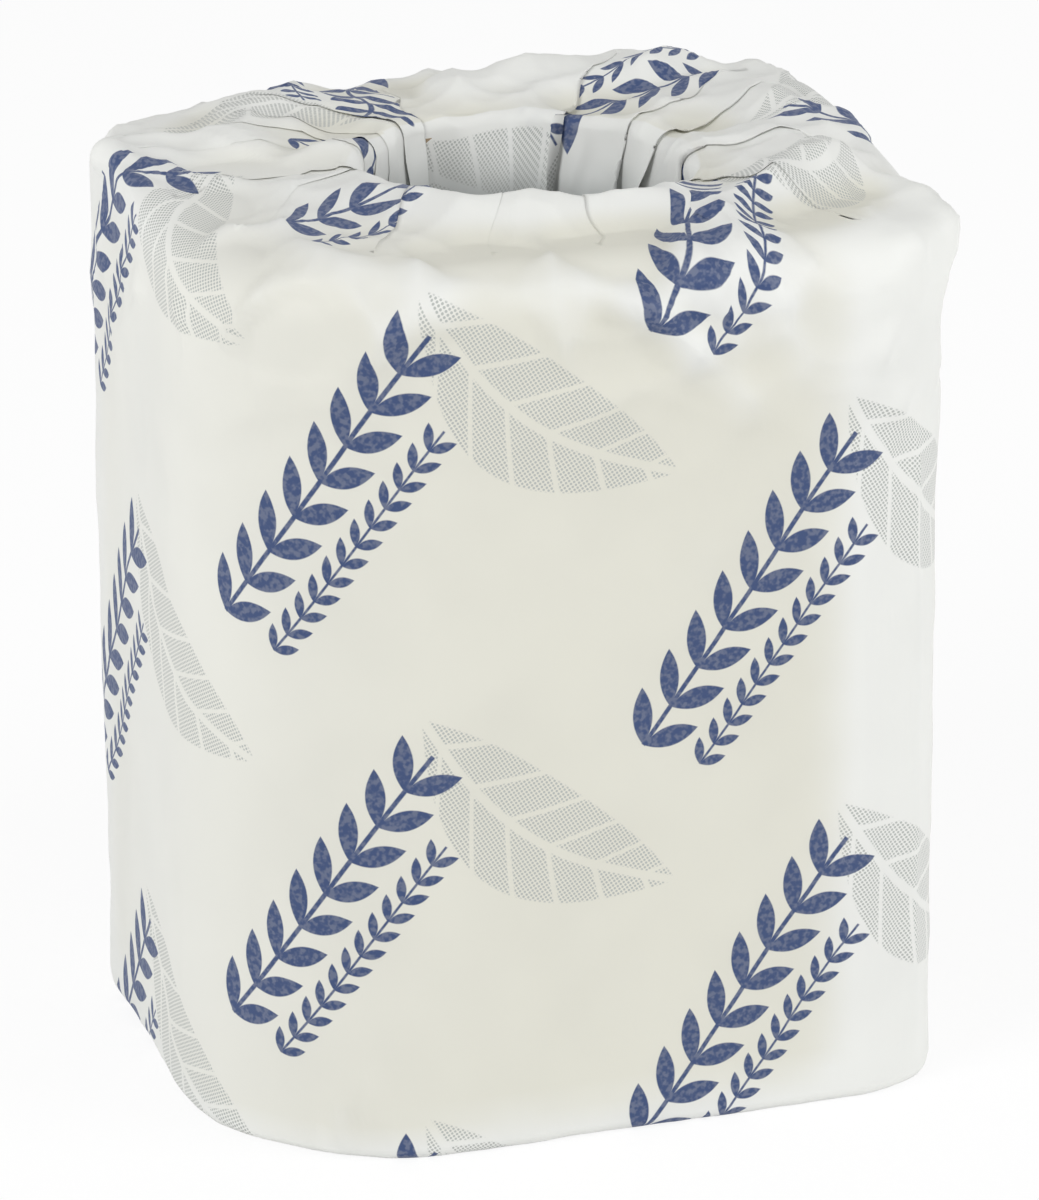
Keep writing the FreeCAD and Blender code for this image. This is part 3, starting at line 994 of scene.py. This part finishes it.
        angle = angle + self.twist(zone, share)
        ridge_at = np.where(face, on_wall, table["wall_end"])
        deep = np.where(upper, 1.0, 2 * off / np.maximum(depth, 1e-9))
        drop = np.where(face, 0, deep * self.layer_drop * np.minimum(1, folded / self.full_lap))
        soft = self.soft_ridge * self.softness(zone, share) * self.soft_lift(ridge_at) - drop
        reach, height = reach + soft * outward[0], height + soft * outward[1]
        on_face = table["mark"] + spare[panel] / 2 + place * shown[panel]
        on_fold = table["mark_end"] - spare[panel] / 2 + np.where(under, place, 1 + place) * folded
        sheet = np.where(face, on_face, on_fold)
        cos, sin, zero = np.cos(angle), np.sin(angle), 0 * angle
        return {"x": self.axis.x + reach * cos, "y": self.axis.y + reach * sin, "z": height + zero,
                "out_x": outward[0] * cos, "out_y": outward[0] * sin, "out_z": outward[1] + zero,
                "rho": reach, "u": sheet, "hidden": folded, "room": self.room(zone, share, angle),
                "amount": self.handled(zone, share) + zero}

    def net(self) -> Net:
        """Work out every point of the sheet.

        Returns:
            Places, sheet coordinates and helpers, each an array of rows by columns.
        """
        rows = [self.row(zone, share) for zone, share in self.stations()]
        net = {key: np.array([row[key] for row in rows]) for key in rows[0]}
        net["v"] = self.along(net)
        shape = net["x"].shape
        places = self.places(net)
        relief = self.crumple.relief(places) * net["amount"].ravel()
        for crease in CREASES:
            relief = relief + crease.relief(places)
        relief = np.maximum(relief.reshape(shape), -net["room"])
        for key in ("x", "y", "z"):
            net[key] = net[key] + relief * net["out_" + key]
        net["z"] = np.maximum(net["z"], 0)
        return net

    @staticmethod
    def places(net: Net) -> Array:
        """The net's points, one to a row."""
        return np.stack([net["x"], net["y"], net["z"]], axis=-1).reshape(-1, 3)

    def along(self, net: Net) -> Array:
        """Length along each column.

        Args:
            net: the sheet's points.

        Returns:
            Lengths in metres, counted so that they equal the height on the wall.
        """
        steps = np.sqrt(np.diff(net["rho"], axis=0) ** 2 + np.diff(net["z"], axis=0) ** 2)
        run = np.vstack([np.zeros(steps.shape[1]), np.cumsum(steps, axis=0)])
        wall_row = self.stations().index((Zone.WALL_TOP, 0.0))
        return net["z"][wall_row] + run[wall_row] - run

    def touch_and_painted_light(self, net: Net) -> Array:
        """Where the paper lies on the tissue, less so on the left side, where painted light whitens the
        paper.

        Args:
            net: the sheet's points.

        Returns:
            1 on the tissue, falling to 0 where the paper stands clear; lowered on the left side by painted
            light, which whitens that side.
        """
        roll_low, roll_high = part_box("tissue_roll")
        back_left = (net["x"] < 0) & (net["y"] > 0)
        radius = np.where(back_left, self.back_left_held_round, self.held_round)
        edge = self.held_edge
        side_x, side_y = (np.abs(net[key]) - roll_high[axis] + radius for axis, key in enumerate("xy"))
        flat = np.hypot(np.maximum(side_x, 0), np.maximum(side_y, 0)) - radius
        flat = flat + np.minimum(np.maximum(side_x, side_y), 0)
        middle = (roll_low[2] + roll_high[2]) / 2
        tall = np.abs(net["z"] - middle) - (roll_high[2] - roll_low[2]) / 2
        out_flat, out_tall = np.maximum(flat + edge, 0), np.maximum(tall + edge, 0)
        distance = np.hypot(out_flat, out_tall) - edge
        clear = np.clip((distance - self.first_clear) / self.clear_run, 0, 1)
        in_hollow = net["rho"] < self.bore
        direction = np.arctan2(net["y"], net["x"])
        # Painted light: the left side is painted whiter, as if lit more from that side.
        cream_kept = 1 - self.painted_light_share * bell(direction, self.painted_light_side_deg, self.painted_light_spread_deg)
        return np.where(in_hollow, 0, cream_kept * (1 - smooth(clear)))

    def deep(self, net: Net) -> Array:
        """Mask of painted shade: 0 outside and 1 down in the hollow, where little light comes."""
        below = (self.flat - self.first_shade - net["z"]) / self.shade_run
        return np.where(net["rho"] < self.bore, np.clip(below, 0, 1), 0)

    def build(self) -> bpy.types.Object:
        """Make the sheet's mesh.

        Returns:
            The object, with its sheet coordinates in the UV map "sheet".
        """
        net = self.net()
        rows, columns = net["x"].shape
        touch_and_painted_light, deep = self.touch_and_painted_light(net).ravel(), self.deep(net).ravel()
        mesh = bmesh.new()
        # Vertex attributes: contact with the tissue with painted light on the left side, and the mask of
        # painted shade in the hollow.
        near, shaded = (mesh.verts.layers.float.new(name) for name in ("touch_and_painted_light", "deep"))
        uv = mesh.loops.layers.uv.new("sheet")
        places = self.places(net)
        verts = [mesh.verts.new(place) for place in places]
        for vert, amount, depth in zip(verts, touch_and_painted_light, deep):
            vert[near], vert[shaded] = amount, depth
        for row in range(rows - 1):
            for column in range(columns):
                after = (column + 1) % columns
                turn = self.around() if after == 0 else 0.0
                below = row + 1
                corners = ((row, column, 0), (below, column, 0), (below, after, turn), (row, after, turn))
                face = mesh.faces.new([verts[r * columns + c] for r, c, _ in corners])
                face.smooth = True
                for loop, (r, c, extra) in zip(face.loops, corners):
                    loop[uv].uv = (net["u"][r, c] + extra, net["v"][r, c])
        self.mark_folds(mesh, verts, net)
        bmesh.ops.remove_doubles(mesh, verts=mesh.verts, dist=self.weld)
        return add_mesh("wrap_sheet", mesh)

    def around(self) -> float:
        """Length of the sheet once round the wall."""
        return float(self.table["lengths"][-1])

    def mark_folds(self, mesh: bmesh.types.BMesh, verts: list[bmesh.types.BMVert],
                   net: Net) -> None:
        """Crease the edges where the paper doubles back.

        Args:
            mesh: the sheet's mesh.
            verts: its points, row by row.
            net: the arrays that it was made from.
        """
        rows, columns = net["x"].shape
        layer, share = self.table["layer"], self.table["share"]
        beyond = np.roll(net["z"], -2 * self.under_steps, axis=1)
        step = np.where(layer == 0, np.abs(beyond - net["z"]), 0)
        parted = np.maximum(net["hidden"], step)
        for column in np.flatnonzero((layer < 2) & (share == 1)):
            for row in range(rows - 1):
                if parted[row:row + 2, column].max() > self.least_parting:
                    ends = verts[row * columns + column], verts[(row + 1) * columns + column]
                    edge = mesh.edges.get(ends)
                    if edge:
                        edge.smooth = False


@dataclass(frozen=True)
class Tissue:
    """Wound tissue: soft, off-white, with the turns faint on its ends."""

    fibre: Colour = linear(240, 238, 230)
    shade: Colour = linear(218, 215, 204)
    turn_pitch: float = 0.35 * MM
    turn_share: float = 0.25
    fuzz_scale: float = 1400.0
    roughness: float = 0.95

    def material(self, axis: Vector) -> bpy.types.Material:
        """Build the tissue's material.

        Args:
            axis: a point on the hollow's axis.

        Returns:
            The material.
        """
        recipe = Recipe(bpy.data.materials.new("tissue"))
        x, y, _ = recipe.parts(recipe.place())
        x, y = x - axis.x, y - axis.y
        distance = (x * x + y * y).math("SQRT")
        turns = (distance * (math.tau / self.turn_pitch)).math("SINE")
        shade = self.turn_share * turns + recipe.speckle(self.fuzz_scale, 4.0).step(0.3, 0.7)
        colour = recipe.mix(shade.step(0.0, 1.2), self.shade, self.fibre)
        normal = recipe.bump(shade, 0.4, 0.3 * MM)
        return recipe.finish(recipe.skin(colour, normal, self.roughness, 0.1, sheen=0.2))


@dataclass(frozen=True)
class TubeCard:
    """Thin grey-brown card, wound in a slanting strip whose seam shows."""

    card: Colour = linear(176, 158, 132)
    fleck: Colour = linear(138, 120, 96)
    strip: float = 62 * MM
    seam: float = 0.5 * MM
    seam_soft: float = 0.2 * MM
    pulp_scale: float = 700.0
    grain_scale: float = 90.0
    roughness: float = 0.85

    def material(self, axis: Vector) -> bpy.types.Material:
        """Build the card's material.

        Args:
            axis: a point on the hollow's axis.

        Returns:
            The material.
        """
        recipe = Recipe(bpy.data.materials.new("tube_card"))
        x, y, height = recipe.parts(recipe.place())
        climb = (y - axis.y).math("ARCTAN2", x - axis.x) * (self.strip / math.tau)
        off_seam = abs((height - climb).wrap(-self.strip / 2, self.strip / 2)) - self.seam
        seam = off_seam.step(self.seam_soft, -self.seam_soft)
        pulp, grain = recipe.speckle(self.pulp_scale, 6.0), recipe.speckle(self.grain_scale, 3.0)
        share = pulp.step(0.35, 0.7) * 0.7 + grain.step(0.3, 0.7) * 0.3
        colour = recipe.mix(seam * 0.6, recipe.mix(share, self.card, self.fleck), self.fleck)
        normal = recipe.bump(pulp - seam, 0.3, 0.2 * MM)
        return recipe.finish(recipe.skin(colour, normal, self.roughness, 0.2))


@dataclass
class Studio:
    """Pale floor, soft light and the camera."""

    azimuth_deg: float = -18.0
    elevation_deg: float = 21.2
    distance: float = 0.687
    lens: float = 165.0
    aim_right: float = 2.6 * MM
    aim_down: float = 1.35 * MM
    centre_height: float = 56 * MM
    floor_glow: float = 0.88
    floor_colour: Colour = (0.97, 0.97, 0.97, 1.0)
    surround: float = 0.52
    floor_size: float = 6.0
    floor_drop: float = 0.05 * MM
    lamp_size: float = 0.7
    lamps: tuple[tuple[str, tuple[float, float, float], float], ...] = (
        ("key", (-1.25, -0.54, 0.8), 12.2), ("fill", (1.05, -0.8, 0.6), 9.6))

    def camera(self) -> None:
        """Create the camera at the photograph's angle."""
        turn, tilt = math.radians(self.azimuth_deg), math.radians(self.elevation_deg)
        back = Vector((math.sin(turn) * math.cos(tilt), -math.cos(turn) * math.cos(tilt), math.sin(tilt)))
        right = Vector((math.cos(turn), math.sin(turn), 0))
        down = right.cross(back)
        aim = Vector((0, 0, self.centre_height)) + right * self.aim_right + down * self.aim_down
        data = bpy.data.cameras.new("camera")
        data.lens = self.lens
        data.sensor_width = 36.0
        data.clip_start = 0.01
        data.clip_end = 20.0
        item = add_object("camera", data)
        item.location = aim + back * self.distance
        item.rotation_euler = back.to_track_quat("Z", "Y").to_euler()
        bpy.context.scene.camera = item

    def floor(self) -> None:
        """A wide pale floor that keeps the object's shadow."""
        mesh = bmesh.new()
        bmesh.ops.create_grid(mesh, x_segments=1, y_segments=1, size=self.floor_size)
        item = add_mesh("floor", mesh)
        item.location.z = -self.floor_drop
        recipe = Recipe(bpy.data.materials.new("floor"))
        pale = recipe.add("BsdfDiffuse", {"Color": self.floor_colour})
        white = recipe.add("Emission", {"Color": WHITE})
        mixed = recipe.blend(recipe.seen() * self.floor_glow, pale, white)
        item.data.materials.append(recipe.finish(mixed))

    def lamp(self, name: str, place: tuple[float, float, float], watts: float) -> None:
        """Create a square soft lamp that points at the object.

        Args:
            name: the lamp's name.
            place: where it stands, in metres.
            watts: its power.
        """
        data = bpy.data.lights.new(name, "AREA")
        data.shape = "SQUARE"
        data.size = self.lamp_size
        data.energy = watts
        item = add_object(name, data)
        item.location = place
        aim = Vector(place) - Vector((0, 0, self.centre_height))
        item.rotation_euler = aim.to_track_quat("Z", "Y").to_euler()

    def world(self) -> None:
        """An even pale surround, pure white where the camera sees it."""
        recipe = Recipe(bpy.data.worlds.new("surround"))
        light, shown = (recipe.add("Background", {"Color": WHITE, "Strength": strength})
                        for strength in (self.surround, 1.0))
        bpy.context.scene.world = recipe.finish(recipe.blend(recipe.seen(), light, shown))

    def build(self) -> None:
        """Make all of it."""
        self.camera()
        self.floor()
        self.world()
        for lamp in self.lamps:
            self.lamp(*lamp)
        bpy.context.scene.view_settings.view_transform = "Standard"


def main() -> None:
    """Build every piece and report it."""
    logging.basicConfig(level=logging.INFO, format="%(name)s: %(message)s")
    Studio().build()
    sheet = WrapSheet()
    wrap = sheet.build()
    design = Print(column=sheet.around() / MM / REPEATS_ROUND)
    wrap.data.materials.append(WrapPaper().material(design))
    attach(wrap, "root")
    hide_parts("wrapper")
    LOG.info("wrap sheet: %d faces", len(wrap.data.polygons))
    finishes = {"tissue_roll": Tissue().material(sheet.axis),
                "core_tube": TubeCard().material(sheet.axis)}
    for node, finish in finishes.items():
        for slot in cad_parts[node].material_slots:
            slot.material = finish
        LOG.info("%s: %s", node, finish.name)


if __name__ == "__main__":
    main()
